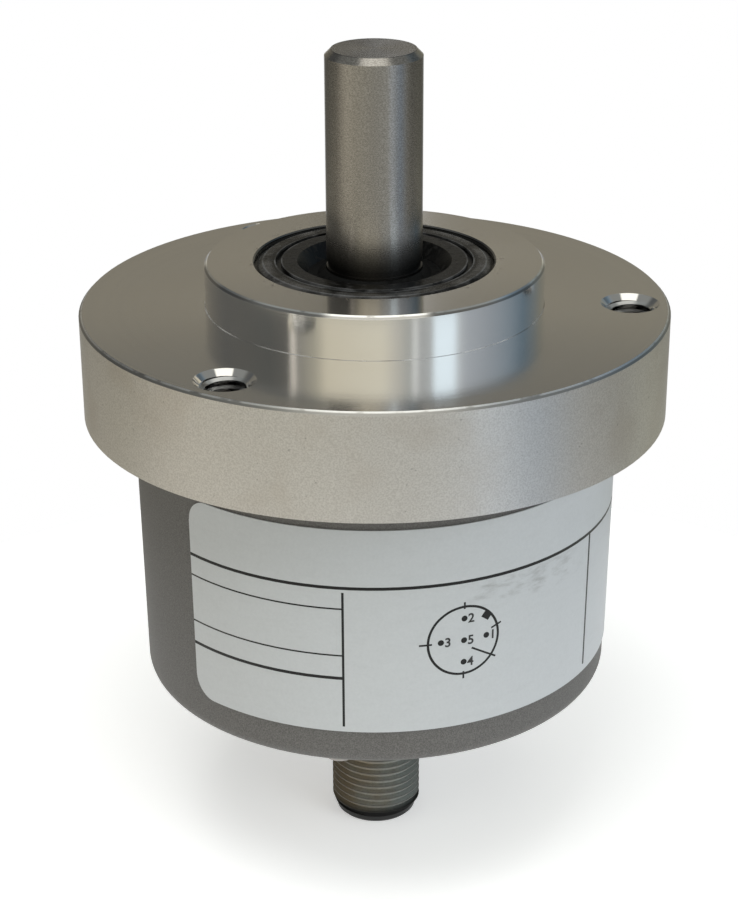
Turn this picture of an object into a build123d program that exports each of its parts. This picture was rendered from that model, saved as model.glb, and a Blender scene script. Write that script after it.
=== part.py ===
from build123d import *
import os
from math import cos, degrees, radians, sin, tan

# An incremental rotary encoder with a centring-collar flange, a solid shaft and a round plug connector.
# Millimetres. The origin is the middle of the mounting face, +Z runs out along the shaft,
# and the middle of the label faces about -Y.

# Shaft
shaft_dia = 12.0
shaft_reach = 32.0
shaft_end_chamfer = 0.8
relief_width = 0.8
relief_depth = 0.2
relief_above_collar = 0.1
thrust_collar_dia = 15.0
thrust_collar_width = 1.2
rear_shoulder_reach = 3.0
journal_dia = 8.0
journal_length = 5.6

# Flange
flange_dia = 74.0
flange_thickness = 13.5
flange_edge_chamfer = 0.4
collar_dia = 42.5
collar_height = 5.5
collar_edge_chamfer = 0.4
collar_bore_chamfer = 0.15
spigot_length = 4.0
bearing_sleeve_wall = 2.5
sleeve_beyond_circlip = 1.9

# Tapped mounting holes, drawn at the outside of their M6 thread
mount_pitch_dia = 64.0
mount_hole_count = 3
mount_start_angle = -2.5
mount_thread_dia = 6.0
mount_hole_depth = 10.5
mount_sink_dia = 7.4
drill_tip_half_angle = 59.0

# Shaft seal
seal_step = 1.0
seal_width = 7.0
seal_recess = 0.1
seal_shoulder = 1.6
seal_shoulder_bore = 25.0
seal_skin = 1.1
seal_face_thickness = 1.6
seal_case_wall = 0.8
seal_case_eye = 18.0
seal_bevel_width = 1.0
seal_bevel_height = 0.6
seal_groove_inset = 2.6
seal_groove_width = 0.7
seal_groove_depth = 0.5
seal_hollow_width = 3.6
seal_hollow_slope = 1.3
seal_hollow_depth = 1.8
dust_lip_thickness = 1.1
dust_lip_height = 0.9
main_lip_depth = 4.6
main_lip_thickness = 1.5
main_lip_relief = 0.7
main_lip_length = 2.5

# Ball bearings, two alike
bearing_outer_dia = 28.0
bearing_width = 8.0
bearing_spacing = 8.0
ball_dia = 4.762
ball_count = 8
shoulder_from_pitch = 1.7
cage_half_width = 0.7
cage_height = 4.4
cage_pocket_bridge = 0.8
spacer_wall = 1.8
preload_spring_height = 0.7
preload_spring_thickness = 0.3
housing_circlip_thickness = 1.2
housing_circlip_groove = 0.7
shaft_circlip_thickness = 1.0
shaft_circlip_groove = 0.25
circlip_width = 1.4
circlip_opening = 34.0
circlip_ear_dia = 2.6
circlip_ear_angle = 7.0

# Code disc and its hub
hub_dia = 18.0
hub_height = 2.8
hub_neck_dia = 10.8
track_from_sleeve = 2.4
disc_rim = 1.1
disc_thickness = 1.0
clamp_nut_dia = 17.0
clamp_nut_height = 1.4
spanner_slot_width = 1.6
set_screw_dia = 2.0

# Light source, reading head and circuit board
head_angle = 76.5
lamp_dia = 3.0
lamp_length = 4.6
lamp_to_disc = 1.2
lamp_rim = 0.4
holder_width = 8.0
holder_depth = 5.6
holder_outward_shift = 0.5
holder_foot_width = 17.0
holder_foot_thickness = 2.5
holder_screw_spacing = 12.0
holder_screw_dia = 2.0
holder_screw_depth = 3.0
holder_screw_head_dia = 3.6
holder_screw_head_height = 1.2
lead_dia = 0.6
lead_spacing = 2.54
lead_to_disc = 1.2
lead_in_holder = 2.0
reticle_gap = 0.5
reticle_size = (4.2, 3.2, 0.6)
sensor_size = (6.4, 4.2, 2.9)
board_edge_gap = 1.0
board_thickness = 1.6

# Pillars and cover screws
pillar_inset = 3.7
pillar_count = 3
pillar_start_angle = -100.5
pillar_across_flats = 5.0
pillar_thread_dia = 2.5
pillar_stud_length = 5.0
pillar_bore_depth = 6.0
screw_head_dia = 5.0
screw_top_dia = 3.0
screw_head_height = 2.1
screw_head_rim = 1.05
screw_length = 6.0

# Cover
cover_mouth_dia = 61.5
cover_draft = 0.5
cover_wall = 2.05
cover_edge_radius = 1.8
cover_end_wall = 2.2
room_behind_board = 7.7
cover_seal_section = 1.3
cover_seal_groove_width = 1.8

# Label
label_top_gap = 3.9
label_height = 27.2
label_thickness = 0.15
label_corner_radius = 3.0
label_start_angle = -136.8
label_end_angle = 15.0

# Connector
panel_thread_dia = 15.8
panel_thread_inside = 3.5
panel_nut_across_flats = 20.0
panel_nut_height = 3.0
hex_across_flats = 19.0
hex_height = 8.0
shoulder_dia = 13.5
shoulder_height = 1.5
neck_dia = 10.6
neck_height = 1.0
plug_thread_dia = 11.95
plug_thread_length = 13.1
plug_thread_chamfer = 0.4
shell_bore_dia = 10.0
insert_recess = 0.8
insert_rim_dia = 10.7
insert_rim_height = 0.9
insert_edge = 0.35
socket_dia = 8.9
socket_depth = 8.0
contact_dia = 1.0
contact_reach = 7.0
contact_circle_dia = 5.5
contact_count = 4
tail_length = 0.8
key_angle = 10.0
key_width = 1.2
key_depth = 0.55
face_seal_section = 1.1

# Ribbon and parts on the board
contact_board_dia = 9.6
contact_board_thickness = 0.8
ribbon_width = 6.0
ribbon_thickness = 0.3
ribbon_reach = 10.0
ribbon_in_socket = 1.0
ribbon_socket_wall = 1.2
ribbon_socket_depth = 4.0
ribbon_socket_height = 2.4
# Each component is its middle X and Y as shares of the board's radius, then its length, width and height.
under_board_chips = ((-0.51, 0.07, 7.0, 7.0, 1.2), (0.55, 0.11, 5.0, 4.0, 1.5), (0.06, -0.61, 6.2, 5.0, 1.5))
under_board_capacitors = ((-0.34, -0.5, 3.5, 2.1, 2.6), (-0.2, -0.63, 3.5, 2.1, 2.6),
                          (0.42, -0.42, 4.2, 2.5, 2.6))

# Clearances, and how far a drill or a cutter runs past
drill_spare = 1.0
fit_gap = 0.01
slide_gap = 0.05
race_gap = 0.05
seal_lip_gap = 0.05
thread_gap = 0.02
film_gap = 0.05
board_hole_gap = 0.1

# Levels along the axis, from the seal down to the cover's back
seal_top = collar_height - seal_recess
seal_bottom = seal_top - seal_width
front_bearing_top = seal_bottom - seal_shoulder
front_bearing_bottom = front_bearing_top - bearing_width
rear_bearing_top = front_bearing_bottom - bearing_spacing
rear_bearing_bottom = rear_bearing_top - bearing_width
spring_bottom = rear_bearing_bottom - preload_spring_height
housing_circlip_bottom = spring_bottom - housing_circlip_thickness
sleeve_end = housing_circlip_bottom - sleeve_beyond_circlip
shaft_shoulder = rear_bearing_bottom - rear_shoulder_reach
shaft_tail = shaft_shoulder - journal_length
disc_top = shaft_shoulder - hub_height
disc_bottom = disc_top - disc_thickness
clamp_nut_bottom = disc_bottom - clamp_nut_height
reticle_top = disc_bottom - reticle_gap
sensor_top = reticle_top - reticle_size[2]
board_top = sensor_top - sensor_size[2]
board_bottom = board_top - board_thickness
cover_floor = board_bottom - room_behind_board
cover_back = cover_floor - cover_end_wall
flange_back = -flange_thickness
spigot_end = flange_back - spigot_length
hex_end = cover_back - hex_height
shoulder_end = hex_end - shoulder_height
thread_start = shoulder_end - neck_height
thread_end = thread_start - plug_thread_length
plug_end = thread_end - insert_rim_height
panel_thread_top = cover_floor + panel_thread_inside
insert_back = panel_thread_top - insert_recess
tail_tip = insert_back + tail_length
socket_floor = plug_end + socket_depth

# Radii that several pieces share
shaft_radius = shaft_dia / 2
bearing_radius = bearing_outer_dia / 2
pitch_radius = (shaft_radius + bearing_radius) / 2
outer_shoulder_radius = pitch_radius + shoulder_from_pitch
seal_radius = bearing_radius + seal_step
sleeve_radius = bearing_radius + bearing_sleeve_wall
track_radius = sleeve_radius + track_from_sleeve
disc_radius = track_radius + disc_rim
cover_back_radius = cover_mouth_dia / 2 - cover_draft
cover_bore_radius = cover_back_radius - cover_wall
spigot_radius = cover_bore_radius - slide_gap
board_radius = cover_bore_radius - board_edge_gap
pillar_radius = cover_bore_radius - pillar_inset
contact_angles = [45 + i * 360 / contact_count for i in range(contact_count)]


def turned(points):
    """A solid of revolution from a closed outline of (radius, height) points."""
    outline = Polyline(*[(radius, 0, height) for radius, height in points], close=True)
    return revolve(make_face(outline), Axis.Z)


def rod(radius, low, high):
    return Pos(0, 0, (low + high) / 2) * Cylinder(radius, high - low)


def ring(outer, inner, low, high):
    return rod(outer, low, high) - rod(inner, low, high)


def block(length, width, low, high):
    return Pos(0, 0, (low + high) / 2) * Box(length, width, high - low)


def hexagon(across_flats, low, high):
    sketch = RegularPolygon(across_flats / 2, 6, major_radius=False)
    return Pos(0, 0, low) * extrude(sketch, high - low)


def around(count, radius, start_angle):
    """Places spaced evenly on a circle about the shaft axis."""
    return [Rot(0, 0, start_angle + i * 360 / count) * Pos(radius, 0, 0) for i in range(count)]


def at_head(radius, sideways=0.0):
    """A place beside the code disc, at the angle of the light source."""
    return Rot(0, 0, head_angle) * Pos(radius, sideways, 0)


def group(pieces):
    return Compound([solid for piece in pieces for solid in piece.solids()])


def cover_radius(height):
    """Outer radius of the drafted cover at a height."""
    share = (flange_back - height) / (flange_back - cover_back)
    return cover_mouth_dia / 2 - share * cover_draft


# Flange

def mount_hole_cutter():
    thread, sink = mount_thread_dia / 2, mount_sink_dia / 2
    tip = thread / tan(radians(drill_tip_half_angle))
    bottom = -mount_hole_depth
    return turned([(0, 0), (sink, 0), (thread, thread - sink), (thread, bottom), (0, bottom - tip)])


def flange():
    seal_bore, bore = seal_radius, bearing_radius + fit_gap
    collar, rim, edge = collar_dia / 2, flange_dia / 2, flange_edge_chamfer
    body = turned([
        (seal_bore + collar_bore_chamfer, collar_height), (collar - collar_edge_chamfer, collar_height),
        (collar, collar_height - collar_edge_chamfer), (collar, 0), (rim - edge, 0), (rim, -edge),
        (rim, flange_back), (spigot_radius, flange_back), (spigot_radius, spigot_end),
        (sleeve_radius, spigot_end), (sleeve_radius, sleeve_end), (bore, sleeve_end), (bore, front_bearing_top),
        (seal_shoulder_bore / 2, front_bearing_top), (seal_shoulder_bore / 2, seal_bottom),
        (seal_bore, seal_bottom), (seal_bore, collar_height - collar_bore_chamfer),
    ])
    groove_low = (flange_back + spigot_end - cover_seal_groove_width) / 2
    groove_high = groove_low + cover_seal_groove_width
    body -= ring(spigot_radius + drill_spare, seal_groove_floor(), groove_low, groove_high)
    body -= rod(bore + housing_circlip_groove, housing_circlip_bottom, spring_bottom)
    for place in around(mount_hole_count, mount_pitch_dia / 2, mount_start_angle):
        body -= place * mount_hole_cutter()
    for place in around(pillar_count, pillar_radius, pillar_start_angle):
        body -= place * rod(pillar_thread_dia / 2 + thread_gap, spigot_end, spigot_end + pillar_bore_depth)
    screw_hole_end = spigot_end + holder_screw_depth + drill_spare
    for side in (-1, 1):
        place = at_head(track_radius, side * holder_screw_spacing / 2)
        body -= place * rod(holder_screw_dia / 2 + thread_gap, spigot_end, screw_hole_end)
    return body


def seal_groove_floor():
    """Radius of the bottom of the groove that carries the cover's seal."""
    return spigot_radius - cover_seal_section - thread_gap


def cover_seal():
    """A square-section ring, squeezed between the spigot and the cover."""
    middle = (flange_back + spigot_end) / 2
    half = cover_seal_section / 2
    floor = seal_groove_floor() + thread_gap
    return ring(floor + cover_seal_section, floor, middle - half, middle + half)


# Shaft seal

def shaft_seal():
    """Rubber over a steel case, with a dust lip in front of the main lip."""
    outer = seal_radius - slide_gap
    skin = outer - seal_skin
    groove_outer = outer - seal_groove_inset
    groove_inner = groove_outer - seal_groove_width
    groove_floor = seal_top - seal_groove_depth
    hollow_floor = seal_top - seal_hollow_depth
    face = seal_top - seal_face_thickness
    eye = seal_case_eye / 2 - slide_gap
    lip = shaft_radius + seal_lip_gap
    hollow = lip + seal_hollow_width
    edge = seal_top - main_lip_depth
    lip_back = edge - main_lip_length + main_lip_relief
    neck = lip + main_lip_relief
    heel = neck + main_lip_thickness
    return turned([
        (outer, seal_bottom), (outer, seal_top - seal_bevel_height), (outer - seal_bevel_width, seal_top),
        (groove_outer, seal_top), (groove_outer, groove_floor), (groove_inner, groove_floor),
        (groove_inner, seal_top), (hollow, seal_top), (hollow - seal_hollow_slope, hollow_floor),
        (lip + dust_lip_thickness, hollow_floor), (lip, hollow_floor + dust_lip_height),
        (neck, hollow_floor - dust_lip_height), (neck, edge + main_lip_relief), (lip, edge), (neck, lip_back),
        (heel, lip_back), (heel, edge + main_lip_relief), (eye, face - seal_case_wall), (eye, face),
        (skin, face), (skin, seal_bottom),
    ])


def seal_case():
    outer = seal_radius - slide_gap - seal_skin - slide_gap
    face = seal_top - seal_face_thickness
    wall = seal_case_wall
    return turned([
        (seal_case_eye / 2, face), (outer, face), (outer, seal_bottom), (outer - wall, seal_bottom),
        (outer - wall, face - wall), (seal_case_eye / 2, face - wall),
    ])


# Ball bearings

def race_cutter(top):
    return Pos(0, 0, top - bearing_width / 2) * Torus(pitch_radius, ball_dia / 2 + race_gap)


def bearing_outer_ring(top):
    body = ring(bearing_radius, outer_shoulder_radius, top - bearing_width, top)
    return body - race_cutter(top)


def bearing_inner_ring(top):
    body = ring(pitch_radius - shoulder_from_pitch, shaft_radius + fit_gap, top - bearing_width, top)
    return body - race_cutter(top)


def bearing_cage(top):
    """A crown cage: a ring with an open-sided pocket for each ball."""
    middle = top - bearing_width / 2
    low = middle - ball_dia / 2 - race_gap - cage_pocket_bridge
    high = low + cage_height
    body = ring(pitch_radius + cage_half_width, pitch_radius - cage_half_width, low, high)
    pocket = block(4 * cage_half_width, ball_dia + 2 * race_gap, low + cage_pocket_bridge, high)
    for place in around(ball_count, pitch_radius, 0):
        body -= place * pocket
    return body


def inner_spacer():
    return ring(shaft_radius + spacer_wall, shaft_radius + fit_gap, rear_bearing_top, front_bearing_bottom)


def outer_spacer():
    return ring(bearing_radius, bearing_radius - spacer_wall, rear_bearing_top, front_bearing_bottom)


def preload_spring():
    """A coned disc spring between the rear bearing and its circlip."""
    outer, inner = bearing_radius - 2 * slide_gap, outer_shoulder_radius + 2 * slide_gap
    thick = preload_spring_thickness
    return turned([(inner, rear_bearing_bottom), (inner, rear_bearing_bottom - thick),
                   (outer, spring_bottom), (outer, spring_bottom + thick)])


def circlip(outer, inner, ear_radius, low, high):
    """A retaining ring with an opening between two ears."""
    ear = circlip_ear_dia / 2
    reach = 2 * outer
    half_angle = radians(circlip_opening / 2)
    wedge = make_face(Polyline((0, 0), (reach * cos(half_angle), reach * sin(half_angle)),
                               (reach * cos(half_angle), -reach * sin(half_angle)), close=True))
    body = ring(outer, inner, low, high) - Pos(0, 0, low) * extrude(wedge, high - low)
    for side in (-1, 1):
        place = Rot(0, 0, side * (circlip_opening / 2 + circlip_ear_angle)) * Pos(ear_radius, 0, 0)
        body += place * rod(ear, low, high)
    return body


def housing_circlip():
    outer = bearing_radius + fit_gap + housing_circlip_groove - slide_gap
    inner = bearing_radius - circlip_width
    return circlip(outer, inner, inner, housing_circlip_bottom, spring_bottom)


def shaft_circlip():
    inner = shaft_radius - shaft_circlip_groove + thread_gap
    outer = shaft_radius + circlip_width
    return circlip(outer, inner, outer, rear_bearing_bottom - shaft_circlip_thickness, rear_bearing_bottom)


# Shaft and code disc

def shaft():
    stub_start = collar_height + relief_above_collar
    relief = shaft_radius - relief_depth
    groove = shaft_radius - shaft_circlip_groove
    journal = journal_dia / 2
    groove_low = rear_bearing_bottom - shaft_circlip_thickness - thread_gap
    thrust_collar = thrust_collar_dia / 2
    thrust_collar_top = front_bearing_top + thrust_collar_width
    return turned([
        (0, shaft_reach), (shaft_radius - shaft_end_chamfer, shaft_reach),
        (shaft_radius, shaft_reach - shaft_end_chamfer), (shaft_radius, stub_start), (relief, stub_start),
        (relief, stub_start - relief_width), (shaft_radius, stub_start - relief_width),
        (shaft_radius, thrust_collar_top), (thrust_collar, thrust_collar_top),
        (thrust_collar, front_bearing_top),
        (shaft_radius, front_bearing_top), (shaft_radius, rear_bearing_bottom), (groove, rear_bearing_bottom),
        (groove, groove_low), (shaft_radius, groove_low), (shaft_radius, shaft_shoulder),
        (journal, shaft_shoulder), (journal, shaft_tail), (0, shaft_tail),
    ])


def set_screw_level():
    return shaft_shoulder - hub_height / 2


def disc_hub():
    bore, neck, outer = journal_dia / 2 + fit_gap, hub_neck_dia / 2, hub_dia / 2
    body = turned([(bore, shaft_shoulder), (outer, shaft_shoulder), (outer, disc_top), (neck, disc_top),
                   (neck, clamp_nut_bottom), (bore, clamp_nut_bottom)])
    hole = Pos(0, 0, set_screw_level()) * Rot(0, 90, 0) * Pos(0, 0, hub_dia / 2)
    return body - hole * Cylinder(set_screw_dia / 2 + thread_gap, hub_dia)


def hub_set_screw():
    start, end = journal_dia / 2 + thread_gap, hub_dia / 2 - slide_gap
    middle = Pos((start + end) / 2, 0, set_screw_level()) * Rot(0, 90, 0)
    body = middle * Cylinder(set_screw_dia / 2, end - start)
    socket = Pos(end, 0, set_screw_level()) * Rot(0, 90, 0)
    return body - socket * extrude(RegularPolygon(set_screw_dia / 4, 6), -set_screw_dia / 2)


def code_disc():
    return ring(disc_radius, hub_neck_dia / 2 + slide_gap, disc_bottom, disc_top)


def disc_clamp_nut():
    body = ring(clamp_nut_dia / 2, hub_neck_dia / 2 + thread_gap, clamp_nut_bottom, disc_bottom)
    slot_top = clamp_nut_bottom + clamp_nut_height / 2
    return body - block(clamp_nut_dia + drill_spare, spanner_slot_width, clamp_nut_bottom, slot_top)


# Light source and reading head

def lamp_bottom():
    return disc_top + lamp_to_disc


def holder_bottom():
    return lamp_bottom() + lamp_rim


def led_holder():
    """A moulded post with a foot, screwed behind the flange."""
    seat = at_head(track_radius + holder_outward_shift)
    post = seat * block(holder_depth, holder_width, holder_bottom(), spigot_end)
    foot = seat * block(holder_depth, holder_foot_width, spigot_end - holder_foot_thickness, spigot_end)
    body = post + foot
    lamp_top = lamp_bottom() + lamp_length
    body -= at_head(track_radius) * rod(lamp_dia / 2 + slide_gap, holder_bottom(), lamp_top + slide_gap)
    for side in (-1, 1):
        screw = at_head(track_radius, side * holder_screw_spacing / 2)
        body -= screw * rod(holder_screw_dia / 2 + slide_gap, spigot_end - holder_foot_thickness, spigot_end)
        lead = at_head(lead_radius(), side * lead_spacing / 2)
        body -= lead * rod(lead_dia / 2 + thread_gap, holder_bottom(), holder_bottom() + lead_in_holder)
    return body


def lead_radius():
    """The leads drop to the board outside the edge of the code disc."""
    return disc_radius + lead_to_disc + lead_dia / 2


def led():
    rim = rod(lamp_dia / 2 + lamp_rim, lamp_bottom() + lamp_rim / 2, holder_bottom())
    barrel = rod(lamp_dia / 2, lamp_bottom() + lamp_rim / 2, lamp_bottom() + lamp_length)
    lens = Pos(0, 0, lamp_bottom() + lamp_rim / 2) * Cylinder(lamp_dia / 2 - lamp_rim, lamp_rim)
    return at_head(track_radius) * (rim + barrel + lens)


def led_leads():
    lead = rod(lead_dia / 2, board_top, holder_bottom() + lead_in_holder)
    return group([at_head(lead_radius(), side * lead_spacing / 2) * lead for side in (-1, 1)])


def led_holder_screws():
    foot = spigot_end - holder_foot_thickness
    shank = rod(holder_screw_dia / 2, foot, spigot_end + holder_screw_depth)
    head = rod(holder_screw_head_dia / 2, foot - holder_screw_head_height, foot)
    return group([at_head(track_radius, side * holder_screw_spacing / 2) * (shank + head) for side in (-1, 1)])


def reticle():
    length, width, height = reticle_size
    return at_head(track_radius) * block(width, length, sensor_top, sensor_top + height)


def opto_sensor():
    length, width, height = sensor_size
    return at_head(track_radius) * block(width, length, board_top, board_top + height)


# Circuit board

def circuit_board():
    body = rod(board_radius, board_bottom, board_top)
    for place in around(pillar_count, pillar_radius, pillar_start_angle):
        body -= place * rod(pillar_thread_dia / 2 + board_hole_gap, board_bottom, board_top)
    return body


def under_board(components):
    return group([Pos(x * board_radius, y * board_radius, 0)
                  * block(length, width, board_bottom - height, board_bottom)
                  for x, y, length, width, height in components])


def board_chips():
    return under_board(under_board_chips)


def board_capacitors():
    return under_board(under_board_capacitors)


def contact_places():
    outer = [Rot(0, 0, angle) * Pos(contact_circle_dia / 2, 0, 0) for angle in contact_angles]
    return outer + [Pos(0, 0, 0)]


def contact_board():
    """A small round board on the contacts' tails."""
    return rod(contact_board_dia / 2, tail_tip, tail_tip + contact_board_thickness)


def ribbon_socket():
    length, width = ribbon_width + 2 * ribbon_socket_wall, ribbon_socket_depth
    body = block(length, width, board_bottom - ribbon_socket_height, board_bottom)
    low, high = ribbon_level() - slide_gap, ribbon_level() + ribbon_thickness + slide_gap
    slot = block(ribbon_width + 2 * slide_gap, width / 2, low, high)
    return Pos(0, ribbon_reach + width / 2, 0) * (body - Pos(0, -width / 4, 0) * slot)


def ribbon_level():
    return board_bottom - ribbon_socket_height / 2


def flex_ribbon():
    """A flat ribbon that lies on the contact board, rises at 45 degrees and enters its socket."""
    low = tail_tip + contact_board_thickness + slide_gap
    high, end = ribbon_level(), ribbon_reach + ribbon_in_socket
    thick = ribbon_thickness
    bend = contact_board_dia / 2
    back = thick * tan(radians(45 / 2))
    side = Polyline((contact_dia, low), (bend, low), (bend + high - low, high), (end, high),
                    (end, high + thick), (bend + high - low - back, high + thick), (bend - back, low + thick),
                    (contact_dia, low + thick), close=True)
    return extrude(Plane.YZ * make_face(side), ribbon_width / 2, both=True)


# Pillars, cover and screws

def pillar(low, high):
    """A hexagonal spacer with a stud on top and a tapped hole below."""
    radius = pillar_thread_dia / 2
    body = hexagon(pillar_across_flats, low, high) + rod(radius, high, high + pillar_stud_length)
    return body - rod(radius + thread_gap, low, low + pillar_bore_depth)


def pillars(low, high):
    places = around(pillar_count, pillar_radius, pillar_start_angle)
    return group([place * pillar(low, high) for place in places])


def cover():
    """A drafted pot with a rounded lower edge."""
    mouth, back = cover_mouth_dia / 2, cover_back_radius
    body = turned([(0, flange_back), (mouth, flange_back), (back, cover_back), (0, cover_back)])
    body = fillet(body.edges().group_by(Axis.Z)[0], cover_edge_radius)
    body -= rod(cover_bore_radius, cover_floor, flange_back)
    body -= rod(panel_thread_dia / 2 + slide_gap, cover_back, cover_floor)
    for place in around(pillar_count, pillar_radius, pillar_start_angle):
        body -= place * rod(pillar_thread_dia / 2 + board_hole_gap, cover_back, cover_floor)
    return body


def cover_screw():
    radius, head = pillar_thread_dia / 2, screw_head_dia / 2
    low, tip = cover_back - screw_head_height, cover_back + screw_length
    return turned([(0, low), (screw_top_dia / 2, low), (head, cover_back - screw_head_rim), (head, cover_back),
                   (radius, cover_back), (radius, tip), (0, tip)])


def cover_screws():
    return group([place * cover_screw() for place in around(pillar_count, pillar_radius, pillar_start_angle)])


def label_corner_cutter():
    """What rounds off one corner of the label, seen along a radius of the cover."""
    size = label_corner_radius + drill_spare
    corner = Pos(0, size / 2, size / 2) * Box(cover_mouth_dia, size, size)
    return corner - Rot(0, 90, 0) * Cylinder(label_corner_radius, cover_mouth_dia)


def label():
    top = flange_back - label_top_gap
    bottom = top - label_height
    outline = [(cover_radius(height) + film_gap + offset, 0, height)
               for height, offset in ((bottom, 0), (bottom, label_thickness), (top, label_thickness), (top, 0))]
    film = revolve(make_face(Polyline(*outline, close=True)), Axis.Z, label_end_angle - label_start_angle)
    film = Rot(0, 0, label_start_angle) * film
    inset = degrees(label_corner_radius / cover_radius(bottom))
    low, high = bottom + label_corner_radius, top - label_corner_radius
    start, end = label_start_angle + inset, label_end_angle - inset
    for quarter, (angle, height) in enumerate(((end, high), (start, high), (start, low), (end, low))):
        place = Rot(0, 0, angle) * Pos(cover_mouth_dia / 2, 0, height)
        film -= place * Rot(90 * quarter, 0, 0) * label_corner_cutter()
    return film


# Connector

def seal_groove_reach():
    return panel_thread_dia / 2 + slide_gap + face_seal_section + 2 * slide_gap


def connector_shell():
    thread, chamfer_size = plug_thread_dia / 2, plug_thread_chamfer
    body = rod(panel_thread_dia / 2, cover_back, panel_thread_top)
    body += hexagon(hex_across_flats, hex_end, cover_back)
    body += turned([(0, hex_end), (shoulder_dia / 2, hex_end), (shoulder_dia / 2, shoulder_end),
                    (neck_dia / 2, shoulder_end), (neck_dia / 2, thread_start), (thread, thread_start),
                    (thread, thread_end + chamfer_size), (thread - chamfer_size, thread_end), (0, thread_end)])
    body -= ring(seal_groove_reach(), panel_thread_dia / 2, cover_back - face_seal_section, cover_back)
    return body - rod(shell_bore_dia / 2, thread_end, panel_thread_top)


def connector_face_seal():
    low = cover_back - face_seal_section + thread_gap
    inner = panel_thread_dia / 2 + slide_gap
    return ring(inner + face_seal_section, inner, low, cover_back)


def connector_nut():
    body = hexagon(panel_nut_across_flats, cover_floor, cover_floor + panel_nut_height)
    return body - rod(panel_thread_dia / 2 + slide_gap, cover_floor, cover_floor + panel_nut_height)


def connector_insert():
    """The plastic carrier of the contacts, hollow at the plug end and keyed inside."""
    sleeve, rim = shell_bore_dia / 2 - thread_gap, insert_rim_dia / 2
    socket = socket_dia / 2
    body = turned([(0, insert_back), (sleeve, insert_back), (sleeve, thread_end), (rim, thread_end),
                   (rim, plug_end + insert_edge), (rim - insert_edge, plug_end), (socket, plug_end),
                   (socket, socket_floor), (0, socket_floor)])
    key = Pos(socket - key_depth / 2, 0, 0) * block(key_depth, key_width, thread_end, socket_floor)
    body += Rot(0, 0, key_angle) * key
    for place in contact_places():
        body -= place * rod(contact_dia / 2 + thread_gap, socket_floor, insert_back)
    return body


def connector_contacts():
    pin_end = socket_floor - contact_reach
    return group([place * rod(contact_dia / 2, pin_end, tail_tip) for place in contact_places()])


sub_parts = {
    "flange": flange,
    "shaft_seal": shaft_seal,
    "seal_case": seal_case,
    "cover_seal": cover_seal,
    "outer_spacer": outer_spacer,
    "inner_spacer": inner_spacer,
    "preload_spring": preload_spring,
    "housing_circlip": housing_circlip,
    "shaft_circlip": shaft_circlip,
    "shaft": shaft,
    "disc_hub": disc_hub,
    "hub_set_screw": hub_set_screw,
    "code_disc": code_disc,
    "disc_clamp_nut": disc_clamp_nut,
    "led_holder": led_holder,
    "led": led,
    "led_leads": led_leads,
    "led_holder_screws": led_holder_screws,
    "reticle": reticle,
    "opto_sensor": opto_sensor,
    "circuit_board": circuit_board,
    "board_chips": board_chips,
    "board_capacitors": board_capacitors,
    "contact_board": contact_board,
    "flex_ribbon": flex_ribbon,
    "ribbon_socket": ribbon_socket,
    "cover": cover,
    "cover_screws": cover_screws,
    "label": label,
    "connector_shell": connector_shell,
    "connector_face_seal": connector_face_seal,
    "connector_nut": connector_nut,
    "connector_insert": connector_insert,
    "connector_contacts": connector_contacts,
}
bearing_pieces = {
    "outer_ring": bearing_outer_ring,
    "inner_ring": bearing_inner_ring,
    "cage": bearing_cage,
}

os.makedirs("parts", exist_ok=True)
for name, make in sub_parts.items():
    export_step(make(), f"parts/{name}.step")
for end, level in (("front", front_bearing_top), ("rear", rear_bearing_top)):
    for name, make in bearing_pieces.items():
        export_step(make(level), f"parts/{end}_bearing_{name}.step")
export_step(pillars(board_top, spigot_end), "parts/front_pillars.step")
export_step(pillars(cover_floor, board_bottom), "parts/rear_pillars.step")
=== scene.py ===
from math import atan2, cos, hypot, pi, radians, sin

import bmesh
import bpy
from mathutils import Matrix, Vector


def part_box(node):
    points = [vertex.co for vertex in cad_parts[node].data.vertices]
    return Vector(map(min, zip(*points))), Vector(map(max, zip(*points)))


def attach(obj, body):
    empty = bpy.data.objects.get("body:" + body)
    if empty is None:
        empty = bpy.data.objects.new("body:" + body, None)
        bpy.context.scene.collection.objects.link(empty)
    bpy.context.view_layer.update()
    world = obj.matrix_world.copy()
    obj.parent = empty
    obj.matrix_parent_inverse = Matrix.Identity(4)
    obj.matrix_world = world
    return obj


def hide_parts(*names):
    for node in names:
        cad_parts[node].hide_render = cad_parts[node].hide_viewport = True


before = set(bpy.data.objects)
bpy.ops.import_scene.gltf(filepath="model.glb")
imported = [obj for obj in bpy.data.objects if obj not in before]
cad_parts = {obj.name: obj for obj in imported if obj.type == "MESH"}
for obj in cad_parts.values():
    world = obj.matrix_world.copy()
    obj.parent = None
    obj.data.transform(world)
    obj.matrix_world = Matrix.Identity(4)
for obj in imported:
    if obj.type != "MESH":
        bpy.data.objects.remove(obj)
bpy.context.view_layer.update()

# The looks of a rotary encoder with a turned flange, a ground shaft and a screw-on plug.
# Sizes here are in millimetres and become metres where a mesh is finished.

millimetre = 0.001


def top_of(node):
    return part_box(node)[1].z / millimetre


def bottom_of(node):
    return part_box(node)[0].z / millimetre


def half_width(node):
    low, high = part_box(node)
    return (high.x - low.x) / 2 / millimetre


# Levels and radii: read from the frame where a node's box gives them, or else as in the CAD source
flange_radius = half_width("flange")
collar_top, flange_bottom, collar_radius = 5.5, -13.5, 21.25
edge_size = 0.4
bore_edge = 15.18
seal_rings = (13.95, 12.4, 11.6, 8.45)
shaft_top = top_of("shaft")
cover_bottom = bottom_of("cover")
cover_taper = 0.5 / 36.0
label_top = top_of("label")
label_reach = -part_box("label")[0].y / millimetre
shell_bottom = bottom_of("connector_shell")
plug_end = bottom_of("connector_insert")
thread_radius = 5.975

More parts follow.
